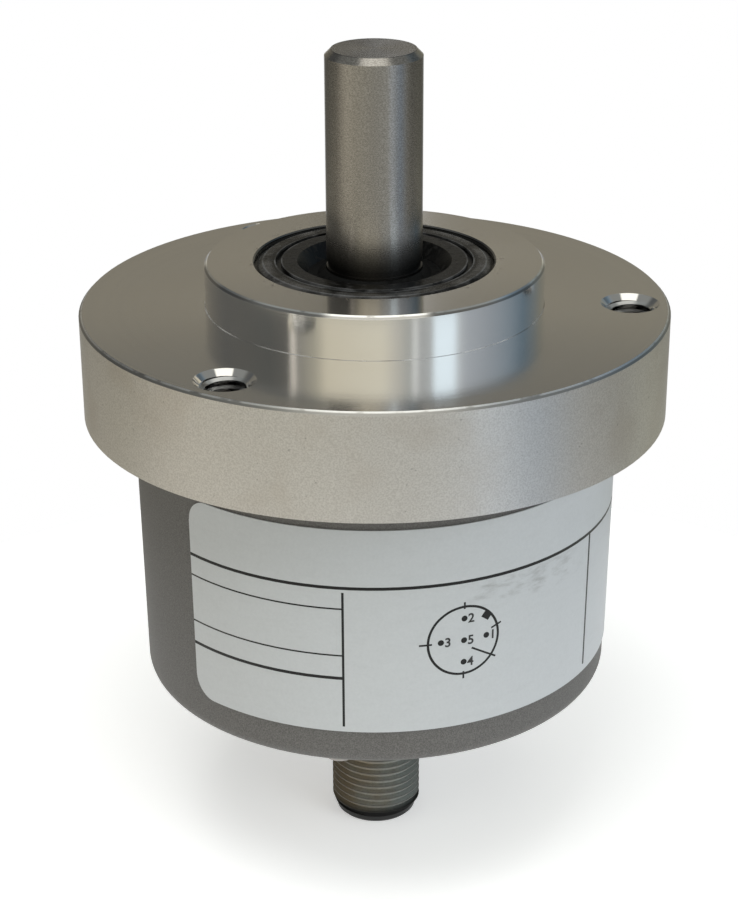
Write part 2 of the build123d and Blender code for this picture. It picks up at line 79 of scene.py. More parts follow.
# The tapped holes: the wall's, the countersink's and the thread crest's radius, and the depth
hole_circle, hole_angles = 32.0, (-2.5, 117.5, -122.5)
hole_wall, hole_sink, hole_crest, hole_depth = 3.0, 3.7, 2.5, 10.5
sink_floor = hole_wall - hole_sink


def hole_place(angle):
    return hole_circle * cos(radians(angle)), hole_circle * sin(radians(angle))


# Shader bench

class Signal:
    """A value or colour in a node tree, with plain arithmetic for values."""

    def __init__(self, bench, socket):
        self.bench = bench
        self.socket = socket

    def with_math(self, operation, *terms):
        return self.bench.node("ShaderNodeMath", {"operation": operation}, dict(enumerate(terms)))

    def __add__(self, other):
        return self.with_math("ADD", self, other)

    __radd__ = __add__

    def __sub__(self, other):
        return self.with_math("SUBTRACT", self, other)

    def __rsub__(self, other):
        return self.with_math("SUBTRACT", other, self)

    def __mul__(self, other):
        return self.with_math("MULTIPLY", self, other)

    __rmul__ = __mul__

    def __truediv__(self, other):
        return self.with_math("DIVIDE", self, other)

    def __gt__(self, other):
        return self.with_math("GREATER_THAN", self, other)

    def __lt__(self, other):
        return self.with_math("LESS_THAN", self, other)

    def __abs__(self):
        return self.with_math("ABSOLUTE", self)

    def between(self, low, high):
        """1 where the value lies between two limits, and 0 elsewhere."""
        return (self > low) * (self < high)

    def fade(self, start, end):
        """0 at start, 1 at end and beyond, smooth between them."""
        settings = {"interpolation_type": "SMOOTHSTEP", "clamp": True}
        sockets = {"Value": self, "From Min": start, "From Max": end}
        return self.bench.node("ShaderNodeMapRange", settings, sockets)

    def largest(self, other):
        return self.with_math("MAXIMUM", self, other)

    def smallest(self, other):
        return self.with_math("MINIMUM", self, other)

    def root(self):
        return self.with_math("SQRT", self)

    def angle(self, other):
        """The turn in radians whose sine goes with this value and whose cosine with the other."""
        return self.with_math("ARCTAN2", self, other)

    def zigzag(self):
        """Up from 0 to a half and down again, over and over."""
        return self.with_math("PINGPONG", self, 0.5)


class Bench:
    """Adds nodes to one node tree."""

    def __init__(self, tree):
        self.tree = tree

    def node(self, kind, settings=None, sockets=None, output=0):
        made = self.tree.nodes.new(kind)
        for name, value in (settings or {}).items():
            if name == "stops":
                for place, colour in value:
                    made.color_ramp.elements.new(place).color = colour
            else:
                setattr(made, name, value)
        for name, value in (sockets or {}).items():
            self.feed(made.inputs[name], value)
        return Signal(self, made.outputs[output])

    def feed(self, socket, value):
        if isinstance(value, Signal):
            self.tree.links.new(value.socket, socket)
        else:
            socket.default_value = value

    def mix(self, share, first, second):
        """A colour that goes from the first to the second as share goes from 0 to 1."""
        settings = {"data_type": "RGBA", "clamp_factor": True}
        return self.node("ShaderNodeMix", settings, {0: share, 6: first, 7: second}, output=2)

    def split(self, vector):
        """The X, Y and Z of a vector."""
        parts = self.tree.nodes.new("ShaderNodeSeparateXYZ")
        self.feed(parts.inputs[0], vector)
        return [Signal(self, output) for output in parts.outputs]


class Finish(Bench):
    """One material. Its patterns are in millimetres on the object's own coordinates."""

    def __init__(self, name, colour, roughness, metallic=0.0, **constants):
        self.material = bpy.data.materials.new(name)
        self.material.use_nodes = True
        super().__init__(self.material.node_tree)
        self.shader = self.tree.nodes["Principled BSDF"]
        self.put("Base Color", colour)
        self.put("Roughness", roughness)
        self.put("Metallic", metallic)
        for socket, value in constants.items():
            self.put(socket.replace("_", " "), value)
        metres = self.node("ShaderNodeTexCoord", output="Object")
        sockets = {0: metres, "Scale": 1 / millimetre}
        self.place = self.node("ShaderNodeVectorMath", {"operation": "SCALE"}, sockets)
        self.x, self.y, self.z = self.split(self.place)
        self.radius = self.from_axis(0.0, 0.0)

    def from_axis(self, x, y):
        """Distance from a line that stands along Z."""
        aside, above = self.x - x, self.y - y
        return (aside * aside + above * above).root()

    def put(self, socket, value):
        self.feed(self.shader.inputs[socket], value)

    def noise(self, size, detail=2.0, stretch=(1, 1, 1), contrast=0.5):
        """Cloudy noise from 0 to 1 with blotches of about this size."""
        place = self.place
        if stretch != (1, 1, 1):
            place = self.node("ShaderNodeVectorMath", {"operation": "MULTIPLY"}, {0: place, 1: stretch})
        sockets = {"Vector": place, "Scale": 1 / size, "Detail": detail, "Roughness": contrast}
        return self.node("ShaderNodeTexNoise", {}, sockets)

    def grooves(self, value, size, detail=2.0):
        """Noise along one measure only, such as the marks of a turning tool."""
        sockets = {"W": value, "Scale": 1 / size, "Detail": detail}
        return self.node("ShaderNodeTexNoise", {"noise_dimensions": "1D"}, sockets)

    def bump(self, height, depth):
        """Height from 0 to 1, and how deep that is in millimetres."""
        sockets = {"Height": height, "Distance": depth * millimetre, "Strength": 1.0}
        self.put("Normal", self.node("ShaderNodeBump", {}, sockets))


def grey(level, warmth=0.0):
    """A neutral colour, redder for a positive warmth and bluer for a negative one."""
    return (level * (1 + warmth), level, level * (1 - warmth), 1.0)


# Metals

# Where these looks begin and are full: the stain from the axis, the shaft's painted shade up the shaft, and
# the black end above the plug's end
stain_reach = (17.6, 15.2)
foot_shade_reach = (11.0, 5.4)
black_end = (1.8, 0.9)


def on_bevel(finish, radius, top):
    """1 on the bevel of a turned edge, and 0 elsewhere."""
    reach = edge_size - 0.01
    return (finish.radius > radius - reach) * (finish.z > top - reach)


def turned_aluminium():
    """Bright turned marks, a finer grain on the rim, painted shade on the bevels with a painted highlight
    line along them, painted shade in the tapped holes and at the bore, and a brown stain beside the seal.
    """
    finish = Finish("flange_turned_aluminium", grey(0.8, 0.02), 0.2, 1.0,
                    Anisotropic=0.7, Anisotropic_Rotation=0.25)
    along_tool = finish.radius + finish.z
    fine = finish.grooves(along_tool, 0.16, 3.0)
    broad = finish.grooves(along_tool, 1.3)
    grain = finish.noise(0.2, 3.0)
    cloud = finish.noise(9.0, 3.0)
    side = finish.radius.fade(flange_radius - 0.5, flange_radius - 0.3)
    beside_seal = finish.radius.fade(*stain_reach) * (finish.z > collar_top - 0.1)
    stain = finish.noise(0.9, 4.0).fade(0.6, 0.72) * beside_seal
    collar_edge = on_bevel(finish, collar_radius, collar_top)
    rim_edge = on_bevel(finish, flange_radius, 0.0)
    level_on_edge = rim_edge * (finish.z + edge_size) + collar_edge * (finish.z - collar_top + edge_size)
    edge = collar_edge.largest(rim_edge)
    # Painted highlight: a thin bright line along the upper part of each bevel, broken up in places by
    # noise.
    highlight_breaks = finish.noise(2.4, 3.0).fade(0.3, 0.5)
    painted_edge_highlight = edge * level_on_edge.fade(0.18, 0.3) * highlight_breaks
    foot = finish.radius.between(collar_radius - 0.02, collar_radius + 0.09) * finish.z.between(-0.1, 0.07)
    foot_line = foot * finish.noise(4.5, 3.0).fade(0.25, 0.85)
    first, second, third = [finish.from_axis(*hole_place(angle)) for angle in hole_angles]
    holes = first.smallest(second).smallest(third)
    sink = (holes < hole_sink + 0.02) * finish.z.between(flange_bottom + 0.5, -0.01)
    # Painted shade: the tapped holes below their countersinks are painted dark between the thread ridges.
    painted_thread_shade = sink * (holes < hole_wall + 0.03) * (finish.z < sink_floor - 0.01)
    metal = finish.mix(cloud, grey(0.8, 0.03), grey(0.86, 0.015))
    metal = finish.mix(side, metal, finish.mix(grain.fade(0.3, 0.7), grey(0.78, 0.03), grey(0.62, 0.04)))
    pits = finish.noise(0.6, 2.0).fade(0.7, 0.78) * side
    metal = finish.mix(side * cloud.fade(0.45, 0.75) * 0.35, metal, (0.58, 0.52, 0.46, 1.0))
    metal = finish.mix(pits * 0.5, metal, grey(0.25, 0.05))
    # Painted shade: the bevels are painted darker, except along the painted highlight line.
    metal = finish.mix(edge * (1 - painted_edge_highlight), metal, grey(0.42, 0.03))
    metal = finish.mix(foot * 0.6, metal, grey(0.3, 0.02))
    metal = finish.mix(stain * 0.6, metal, (0.3, 0.2, 0.12, 1.0))
    # Painted shade: the bore's edge beside the seal is painted dark, for the gap round the seal.
    painted_bore_shade = (finish.radius < bore_edge) * (finish.z > collar_top - 0.3)
    metal = finish.mix((painted_thread_shade * 0.3).largest(painted_bore_shade * 0.85), metal, grey(0.1))
    finish.put("Base Color", finish.mix(foot_line.largest(painted_edge_highlight), metal, grey(0.95)))
    rough = 0.07 + 0.05 * fine + 0.23 * side * (0.8 + 0.4 * grain) + 0.04 * broad + 0.04 * cloud
    finish.put("Roughness", (rough + 0.25 * stain + 0.35 * foot_line) * (1 - 0.55 * sink))
    finish.put("Metallic", 1 - 0.4 * foot_line)
    marks = fine * (1 - side * 0.4) + grain * side * 0.3
    finish.bump(marks * (1 - sink), 0.004)
    return finish.material


def ground_steel():
    """Fine marks of the grinding wheel, with painted shade on its top face and towards its foot by the
    seal.
    """
    finish = Finish("shaft_ground_steel", grey(0.42, 0.04), 0.3, 1.0,
                    Anisotropic=0.6, Anisotropic_Rotation=0.25)
    along_wheel = finish.radius + finish.z
    fine = finish.grooves(along_wheel, 0.12, 3.0)
    broad = finish.grooves(finish.z, 2.4)
    grain = finish.noise(0.2, 3.0, (1.0, 1.0, 1.6))
    top = finish.z.fade(shaft_top - 0.1, shaft_top - 0.02)
    foot_shade = finish.z.fade(*foot_shade_reach)
    metal = finish.mix(grain.fade(0.35, 0.65), grey(0.34, 0.07), grey(0.48, 0.05))
    # Painted shade: the shaft's top face is painted darker.
    metal = finish.mix(top * 0.8, metal, grey(0.2, 0.03))
    # Painted shade: the shaft is painted darker towards its foot by the seal.
    metal = finish.mix(foot_shade * 0.85, metal, grey(0.02, 0.06))
    finish.put("Base Color", metal)
    finish.put("Roughness", 0.12 + 0.08 * fine + 0.04 * broad + 0.07 * grain + 0.12 * foot_shade)
    finish.bump(fine + grain * 0.6, 0.005)
    return finish.material


def plug_nickel():
    """Dull nickel, browner in patches, darker on the thread's crests and black towards its end."""
    finish = Finish("plug_dull_nickel", grey(0.36, 0.06), 0.3, 0.7)
    cloud = finish.noise(3.5, 3.0)
    grain = finish.noise(0.3, 3.0)
    warm = (finish.x + 12 * cloud).fade(9.0, 1.0)
    crest = finish.radius.fade(thread_radius - 0.1, thread_radius - 0.03)
    metal = finish.mix(warm, (0.36, 0.38, 0.36, 1.0), (0.32, 0.27, 0.2, 1.0))
    metal = finish.mix(crest * (finish.radius < thread_radius + 0.1) * 0.6, metal, grey(0.1, 0.06))
    metal = finish.mix(grain.fade(0.4, 0.75) * 0.4, metal, grey(0.2, 0.05))
    black = finish.z.fade(shell_bottom + black_end[0], shell_bottom + black_end[1])
    metal = finish.mix(black, metal, grey(0.008))
    finish.put("Base Color", metal)
    finish.put("Roughness", 0.48 + 0.16 * grain + 0.08 * cloud)
    finish.bump(grain, 0.01)
    return finish.material


def plated(name, colour, roughness, mark_size=0.25):
    """Bright plating with faint streaks and a cloudy shine."""
    finish = Finish(name, colour, roughness, 1.0)
    cloud = finish.noise(2.2, 3.0)
    grain = finish.noise(mark_size, 2.0)
    darker = tuple(0.8 * part for part in colour[:3]) + (1.0,)
    finish.put("Base Color", finish.mix(cloud.fade(0.35, 0.75), colour, darker))
    finish.put("Roughness", roughness + 0.12 * grain + 0.08 * cloud)
    finish.bump(grain, 0.004)
    return finish.material


# Rubber, plastic, paint and film

# Radii between which the seal's looks change
seal_bevel, seal_gap, seal_hollow = (12.6, 13.3), (14.4, 14.6), (8.5, 8.0)


def seal_rubber():
    """Black rubber, dusty in spots, glossier on its outer bevel with a painted sheen there, painted
    highlight lines along its rings, and painted shade in its hollow and in the gap round it.
    """
    finish = Finish("seal_black_rubber", grey(0.01), 0.3, Specular_IOR_Level=0.24)
    dust = finish.noise(0.9, 5.0).fade(0.5, 0.72)
    skin = finish.noise(0.25, 3.0)
    # Smear noise: bumps the rubber, and breaks up the painted sheen on the bevel and the rings.
    smear = finish.noise(3.0, 3.0)
    bevel = finish.radius.fade(*seal_bevel)
    gap = finish.radius.fade(*seal_gap)
    hollow = finish.radius.fade(*seal_hollow)
    rubber = finish.mix(dust * 0.45, grey(0.001, 0.02), grey(0.045, 0.03))
    # Painted highlight: the outer bevel is painted lighter in patches, as a sheen.
    rubber = finish.mix(bevel * smear.fade(0.35, 0.7) * 0.5, rubber, grey(0.11, 0.03))
    # Painted shade: the hollow next to the shaft is painted darker still.
    rubber = finish.mix(hollow, rubber, grey(0.0015))
    # Painted highlight: thin bluish lines are painted along the ring edges, as a sheen; the innermost
    # stands in for an edge on the hollow's slope.
    for ring in seal_rings:
        ring_highlight = abs(finish.radius - ring).fade(0.16, 0.04) * (finish.z > collar_top - 0.4)
        rubber = finish.mix(ring_highlight * smear.fade(0.3, 0.65), rubber, grey(0.1, -0.02))
    # Painted shade: the gap round the seal's outside is painted darker still.
    rubber = finish.mix(gap, rubber, grey(0.0015))
    finish.put("Base Color", rubber)
    finish.put("Roughness", 0.2 + 0.2 * skin + 0.25 * dust - 0.1 * bevel + 0.3 * hollow)
    finish.bump(skin * 0.6 + dust * 0.5 + 0.8 * smear, 0.035)
    return finish.material


def moulded(name, colour, roughness):
    """Moulded plastic or rubber with a fine skin."""
    finish = Finish(name, colour, roughness)
    skin = finish.noise(0.3, 3.0)
    cloud = finish.noise(3.0, 2.0)
    lighter = tuple(min(1.0, 1.25 * part + 0.004) for part in colour[:3]) + (1.0,)
    finish.put("Base Color", finish.mix(cloud, colour, lighter))
    finish.put("Roughness", roughness + 0.15 * skin - 0.05)
    finish.bump(skin, 0.008)
    return finish.material


def cover_paint():
    """Dark paint with a fine texture and small pits."""
    finish = Finish("cover_textured_paint", grey(0.16, 0.02), 0.55, 0.25)
    grain = finish.noise(0.16, 2.0)
    pits = finish.noise(0.45, 3.0)
    cloud = finish.noise(14.0, 2.0)
    paint = finish.mix(grain.fade(0.3, 0.72), grey(0.095, 0.04), grey(0.185, 0.03))
    paint = finish.mix(cloud * 0.25, paint, grey(0.11, 0.07))
    finish.put("Base Color", paint)
    finish.put("Roughness", 0.48 + 0.2 * grain)
    finish.bump(grain * 0.6 + pits * 0.4, 0.03)
    return finish.material


class LabelPrint:
    """Printed lines on the label, in millimetres round the cover from its middle and up its side."""

    def __init__(self, finish):
        self.across = finish.x.angle(-1.0 * finish.y) * label_print_radius
        self.up = finish.z
        self.ink = None

    def add(self, mask):
        self.ink = mask if self.ink is None else self.ink.largest(mask)

    def bar(self, left, right, low, high):
        self.add(self.across.between(left, right) * self.up.between(low, high))

    def rule(self, left, right, level, weight):
        self.bar(left, right, level - weight / 2, level + weight / 2)

    def post(self, place, low, high, weight):
        self.bar(place - weight / 2, place + weight / 2, low, high)

    def distance(self, place, level):
        aside, above = self.across - place, self.up - level
        return (aside * aside + above * above).root()

    def dot(self, place, level, size):
        self.add(self.distance(place, level) < size / 2)

    def circle(self, place, level, size, weight):
        self.add(abs(self.distance(place, level) - size / 2) < weight / 2)

    def line(self, start, end, weight):
        """A straight line from one (place, level) to another."""
        length = hypot(end[0] - start[0], end[1] - start[1])
        way = ((end[0] - start[0]) / length, (end[1] - start[1]) / length)
        aside, above = self.across - start[0], self.up - start[1]
        along = aside * way[0] + above * way[1]
        off = aside * way[1] - above * way[0]
        self.add(along.between(0.0, length) * (abs(off) < weight / 2))


# The print on the label, in millimetres round the cover and up its side
label_print_radius = 30.75
thick_rule, thin_rule = 0.42, 0.22
label_left, label_right, label_far_end = -25.3, 32.0, 56.5
upper_rule, lower_rule = -25.0, -37.2
table_edge, table_rules = -3.9, (-27.8, -34.1)
table_post_low, table_post_weight = -43.9, 0.3
right_post_low, right_post_weight = -43.6, 0.4
pin_circle = (10.85, -32.9)
pin_circle_size, pin_circle_weight = 9.1, 0.32
pin_spread, pin_dot, tick_weight, key_weight = 2.95, 0.78, 0.25, 0.85
pins = {"1": (pin_spread, 0.1), "2": (0.0, pin_spread), "3": (-pin_spread, 0.1), "4": (0.0, -pin_spread),
        "5": (0.0, 0.0)}
scuff_left, scuff_right, scuff_low = (9.0, 14.0), (31.0, 27.0), (-29.8, -27.8)


def label_print(finish):
    """Ruled lines of an empty table, and a plain diagram of the plug's five pins."""
    ink = LabelPrint(finish)
    ink.rule(label_left, label_far_end, upper_rule, thick_rule)
    for level in table_rules:
        ink.rule(label_left, table_edge, level, thin_rule)
    ink.rule(label_left, table_edge, lower_rule, thick_rule)
    ink.post(table_edge, table_post_low, upper_rule - 0.6, table_post_weight)
    ink.post(label_right, right_post_low, upper_rule, right_post_weight)
    middle, level = pin_circle
    half = pin_circle_size / 2
    ink.circle(middle, level, pin_circle_size, pin_circle_weight)
    for aside, above in pins.values():
        ink.dot(middle + aside, level + above, pin_dot)
    ink.line((middle, level + half - 0.3), (middle, level + half + 0.6), tick_weight)
    ink.line((middle, level - half + 0.3), (middle, level - half - 0.7), tick_weight)
    ink.line((middle - half - 1.1, level), (middle - half + 0.5, level), tick_weight)
    ink.line((middle + 3.6, level + 0.92), (middle + 4.95, level + 1.45), tick_weight)
    ink.line((middle + 1.0, level - 1.2), (middle + 4.3, level - 3.1), tick_weight)
    ink.line((middle + 2.45, level + 3.1), (middle + 3.35, level + 2.45), key_weight)
    return ink


def label_film():
    """White film with its print, scuffed to the right below the upper rule."""
    finish = Finish("label_printed_film", grey(0.54, -0.01), 0.38, Specular_IOR_Level=0.3)
    ink = label_print(finish)
    fleck = finish.noise(0.35, 3.0)
    smear = finish.noise(2.6, 5.0, (1.0, 1.0, 3.2), 0.65)
    below_rule = ink.up.fade(*scuff_low) * ink.up.fade(upper_rule, upper_rule - 0.8)
    scuffed = ink.across.fade(*scuff_left) * ink.across.fade(*scuff_right) * below_rule
    scuff = smear.fade(0.42, 0.8) * (0.1 + 0.9 * scuffed)
    film = finish.mix(fleck, grey(0.565, -0.035), grey(0.63, -0.03))
    film = finish.mix(scuff * 0.6, film, grey(0.26))
    finish.put("Base Color", finish.mix(ink.ink, film, grey(0.008)))
    finish.put("Roughness", 0.33 + 0.12 * fleck + 0.15 * scuff)
    finish.bump(fleck * 0.6 + ink.ink * 0.3, 0.006)
    return finish.material


disc_lines = 512
disc_track, disc_ring, disc_middle = (17.9, 19.6), (15.6, 16.4), 9.4


def code_glass():
    """Glass with a track of fine chrome lines, a plain chrome ring and a chrome middle."""
    finish = Finish("code_disc_glass", grey(0.75, -0.04), 0.08)
    stripes = (finish.x.angle(finish.y) * (disc_lines / (2 * pi))).zigzag() > 0.25
    track = finish.radius.between(*disc_track)
    chrome = (track * stripes).largest(finish.radius.between(*disc_ring))
    chrome = chrome.largest(finish.radius < disc_middle)
    finish.put("Base Color", finish.mix(chrome, grey(0.75, -0.04), grey(0.12)))
    finish.put("Metallic", chrome)
    finish.put("Roughness", 0.08 + 0.15 * chrome)
    return finish.material


def board_resin():
    """Green solder mask over copper traces."""
    finish = Finish("board_green_mask", (0.02, 0.16, 0.06, 1.0), 0.35, Coat_Weight=0.3)
    trace = (finish.x * 0.9 + finish.noise(7.0) * 3).zigzag().fade(0.28, 0.34)
    finish.put("Base Color", finish.mix(trace * 0.6, (0.015, 0.12, 0.045, 1.0), (0.05, 0.3, 0.1, 1.0)))
    finish.put("Roughness", 0.3 + 0.15 * finish.noise(1.0))
    finish.bump(trace, 0.03)
    return finish.material


def clear_resin(name, colour):
    """Clear plastic or glass."""
    finish = Finish(name, colour, 0.12, Transmission_Weight=0.7)
    finish.put("Roughness", 0.08 + 0.12 * finish.noise(1.5, 3.0))
    return finish.material


finishes = {
    "flange": turned_aluminium(),
    "shaft": ground_steel(),
    "shaft_seal": seal_rubber(),
    "cover": cover_paint(),
    "label": label_film(),
    "code_disc": code_glass(),
    "circuit_board": board_resin(),
}
shared = {
    "connector_nickel": plug_nickel(),
    "screw_zinc": plated("screw_zinc", grey(0.34, 0.07), 0.34),
    "bright_steel": plated("bearing_bright_steel", grey(0.62, 0.01), 0.12, 0.1),
    "pressed_steel": plated("pressed_steel", grey(0.4, 0.02), 0.35),
    "spring_steel": plated("spring_steel", grey(0.14, 0.02), 0.38),
    "hub_aluminium": plated("hub_aluminium", grey(0.7, 0.01), 0.25),
    "cut_thread": plated("cut_thread_aluminium", grey(0.9, 0.0), 0.06, 0.5),
    "pillar_brass": plated("pillar_brass", (0.66, 0.47, 0.18, 1.0), 0.25),
    "contact_gold": plated("contact_gold", (0.83, 0.6, 0.22, 1.0), 0.18),
    "lead_tin": plated("lead_tin", grey(0.6, 0.01), 0.3),
    "black_insert": moulded("insert_black_plastic", grey(0.012), 0.4),
    "ring_rubber": moulded("ring_black_rubber", grey(0.014), 0.5),
    "chip_plastic": moulded("chip_black_plastic", grey(0.03), 0.45),
    "holder_plastic": moulded("holder_dark_plastic", grey(0.05), 0.4),
    "socket_plastic": moulded("socket_ivory_plastic", (0.72, 0.68, 0.55, 1.0), 0.4),
    "cage_plastic": moulded("cage_nylon", (0.45, 0.38, 0.22, 1.0), 0.4),
    "ribbon_film": moulded("ribbon_amber_film", (0.55, 0.26, 0.03, 1.0), 0.25),
    "capacitor_ceramic": moulded("capacitor_ceramic", (0.4, 0.27, 0.13, 1.0), 0.45),
    "lamp_resin": clear_resin("lamp_clear_resin", grey(0.8, -0.03)),
    "reticle_glass": clear_resin("reticle_glass", grey(0.7, -0.05)),
}
shared_by = {
    "connector_nickel": ["connector_shell", "connector_nut"],
    "screw_zinc": ["cover_screws", "hub_set_screw", "led_holder_screws"],
    "bright_steel": ["front_bearing_outer_ring", "front_bearing_inner_ring", "rear_bearing_outer_ring",
                     "rear_bearing_inner_ring", "outer_spacer", "inner_spacer"],
    "pressed_steel": ["seal_case"],
    "spring_steel": ["preload_spring", "housing_circlip", "shaft_circlip"],
    "hub_aluminium": ["disc_hub", "disc_clamp_nut"],
    "pillar_brass": ["front_pillars", "rear_pillars"],
    "contact_gold": ["connector_contacts"],
    "lead_tin": ["led_leads"],
    "black_insert": ["connector_insert"],
    "ring_rubber": ["cover_seal", "connector_face_seal"],
    "chip_plastic": ["board_chips", "opto_sensor"],
    "holder_plastic": ["led_holder"],
    "socket_plastic": ["ribbon_socket"],
    "cage_plastic": ["front_bearing_cage", "rear_bearing_cage"],
    "ribbon_film": ["flex_ribbon"],
    "capacitor_ceramic": ["board_capacitors"],
    "lamp_resin": ["led"],
    "reticle_glass": ["reticle"],
}
finishes["contact_board"] = finishes["circuit_board"]
for finish_name, nodes in shared_by.items():
    for node in nodes:
        finishes[node] = shared[finish_name]

for node, material in finishes.items():
    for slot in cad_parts[node].material_slots:
        slot.material = material


# Modelled pieces

weld = 1e-5
crease_angle = 32
round_steps = 96
thread_pitch = 1.0


def corners_of(items):
    return [item for item in items if isinstance(item, bmesh.types.BMVert)]


def faces_of(items):
    return [item for item in items if isinstance(item, bmesh.types.BMFace)]


def add_piece(name, shape, body, material, replaced=()):
    """Turns a bmesh in millimetres into a piece that rides on a body."""
    bmesh.ops.scale(shape, vec=(millimetre,) * 3, verts=shape.verts)
    bmesh.ops.remove_doubles(shape, verts=shape.verts, dist=weld * millimetre)
    bmesh.ops.recalc_face_normals(shape, faces=shape.faces)
    mesh = bpy.data.meshes.new(name)
    shape.to_mesh(mesh)
    shape.free()
    mesh.shade_smooth()
    mesh.set_sharp_from_angle(angle=radians(crease_angle))
    piece = bpy.data.objects.new(name, mesh)
    bpy.context.scene.collection.objects.link(piece)
    mesh.materials.append(material)
    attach(piece, body)
    if replaced:
        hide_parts(*replaced)


def lathe(shape, outline, steps):
    """Spins an outline of (radius, height) points round the shaft axis."""
    corners = [shape.verts.new((radius, 0, height)) for radius, height in outline]
    edges = [shape.edges.new(pair) for pair in zip(corners, corners[1:])]
    bmesh.ops.spin(shape, geom=corners + edges, cent=(0, 0, 0), axis=(0, 0, 1), angle=2 * pi, steps=steps,
                   use_merge=True)
    bmesh.ops.remove_doubles(shape, verts=shape.verts, dist=weld)


def helix(shape, profile, length, limit, steps):
    """Sweeps a profile of (radius, height) points down a thread, no wider than limit(height)."""
    before = set(shape.verts)
    start = shape.faces.new([shape.verts.new((radius, 0, height)) for radius, height in profile])
    turns = length / thread_pitch
    bmesh.ops.spin(shape, geom=[start], cent=(0, 0, 0), axis=(0, 0, 1), dvec=(0, 0, -thread_pitch / steps),
                   angle=2 * pi * turns, steps=int(turns * steps), use_merge=False)
    for corner in set(shape.verts) - before:
        reach = hypot(corner.co.x, corner.co.y)
        most = limit(corner.co.z)
        if reach > most:
            corner.co.x *= most / reach
            corner.co.y *= most / reach


def hexagon(shape, across_flats, low, high, turned_down, slope):
    """A hexagonal block whose lower corners are turned down."""
    corner_reach = across_flats / 2 / cos(pi / 6)
    made = bmesh.ops.create_circle(shape, cap_ends=True, segments=round_steps, radius=corner_reach)
    sixth = pi / 3
    for corner in made["verts"]:
        turn = atan2(corner.co.y, corner.co.x) % sixth - sixth / 2
        corner.co *= across_flats / 2 / cos(turn) / corner_reach
    bmesh.ops.translate(shape, vec=(0, 0, low), verts=made["verts"])
    raised = bmesh.ops.extrude_face_region(shape, geom=[made["verts"][0].link_faces[0]])
    bmesh.ops.translate(shape, vec=(0, 0, high - low), verts=corners_of(raised["geom"]))
    for corner in made["verts"]:
        reach = hypot(corner.co.x, corner.co.y)
        corner.co.z += max(0.0, reach - turned_down) * slope


# The plug's metal body: a hexagon, a shoulder, a neck and a threaded tube, bored through
hexagon_across, hexagon_corner_slope = 19.0, 0.58
hexagon_end, shoulder_end, thread_start = -57.3, -59.0, -60.0
hexagon_face_radius, shoulder_radius, neck_radius = 9.0, 6.75, 5.3
tube_bore, tube_radius, tube_end_radius = 5.0, 5.42, 5.35
shoulder_bevel, tube_bevel = 0.2, 0.1
inner_end_radius, inner_end_top = 7.9, -44.0
thread_first, thread_last, thread_root = -60.25, -72.95, 5.36


def connector_body(shape):
    """Hexagon, shoulder and neck of the plug, above its threaded tube."""
    turned_down = hexagon_across / 2 - 0.1
    hexagon(shape, hexagon_across, hexagon_end, cover_bottom, turned_down, hexagon_corner_slope)
    step = hexagon_end - shoulder_bevel
    lathe(shape, [(tube_bore, hexagon_end), (hexagon_face_radius, hexagon_end), (hexagon_face_radius, step),
                  (shoulder_radius, step), (shoulder_radius, shoulder_end + shoulder_bevel),
                  (shoulder_radius - shoulder_bevel, shoulder_end), (neck_radius, shoulder_end),
                  (neck_radius, thread_start), (tube_end_radius, thread_start - tube_bevel)], round_steps)
    lathe(shape, [(tube_bore, shell_bottom), (tube_end_radius, shell_bottom),
                  (tube_radius, shell_bottom + tube_bevel), (tube_radius, thread_start),
                  (tube_bore, thread_start)], round_steps)


def connector_thread(shape):
    """A ridge round the tube that rises out of it and runs out into it."""
    sunk, half_foot, half_crest = 0.1, 0.46, 0.07
    rise, rise_from = 1.3, 0.45
    foot, crest = thread_root - sunk, thread_radius
    profile = [(foot, thread_first + half_foot), (crest, thread_first + half_crest),
               (crest, thread_first - half_crest), (foot, thread_first - half_foot)]

    def limit(height):
        run_out = thread_root + (height - (thread_last - sunk))
        run_in = thread_root + rise * (thread_first + rise_from - height)
        return min(crest, run_out, run_in)

    helix(shape, profile, thread_first - thread_last, limit, 40)


def connector_shell():
    shape = bmesh.new()
    connector_body(shape)
    connector_thread(shape)
    lathe(shape, [(tube_bore, inner_end_top), (inner_end_radius, inner_end_top),
                  (inner_end_radius, cover_bottom), (tube_bore, cover_bottom)], 64)
    return shape


add_piece("connector_threaded_shell", connector_shell(), "housing", shared["connector_nickel"],
          ("connector_shell",))


def hole_threads():
    """Thread ridges inside the three tapped holes of the flange."""
    shape = bmesh.new()
    first, last = sink_floor - 0.15, -hole_depth + 1.0
    foot, half_foot, half_crest = hole_wall + 0.06, 0.34, 0.05
    profile = [(foot, first + half_foot), (foot, first - half_foot),
               (hole_crest, first - half_crest), (hole_crest, first + half_crest)]
    helix(shape, profile, first - last, lambda height: foot, 48)
    one = list(shape.verts) + list(shape.edges) + list(shape.faces)
    places = [Vector((*hole_place(angle), 0)) for angle in hole_angles]
    for place in places[1:]:
        copy = bmesh.ops.duplicate(shape, geom=one)["geom"]
        bmesh.ops.translate(shape, vec=place, verts=corners_of(copy))
    bmesh.ops.translate(shape, vec=places[0], verts=corners_of(one))
    return shape


add_piece("mounting_hole_threads", hole_threads(), "housing", shared["cut_thread"])

ball_count, ball_circle, ball_radius = 8, 10.0, 2.381
ball_levels = {"front": -7.2, "rear": -23.2}


def bearing_balls(level):
    shape = bmesh.new()
    for ball in range(ball_count):
        turn = Matrix.Rotation(radians(360 / ball_count * ball), 4, "Z")
        place = turn @ Matrix.Translation((ball_circle, 0, level))
        bmesh.ops.create_uvsphere(shape, u_segments=32, v_segments=16, radius=ball_radius, matrix=place)
    return shape


for side, level in ball_levels.items():
    add_piece(f"{side}_bearing_balls", bearing_balls(level), f"{side}_cage", shared["bright_steel"])


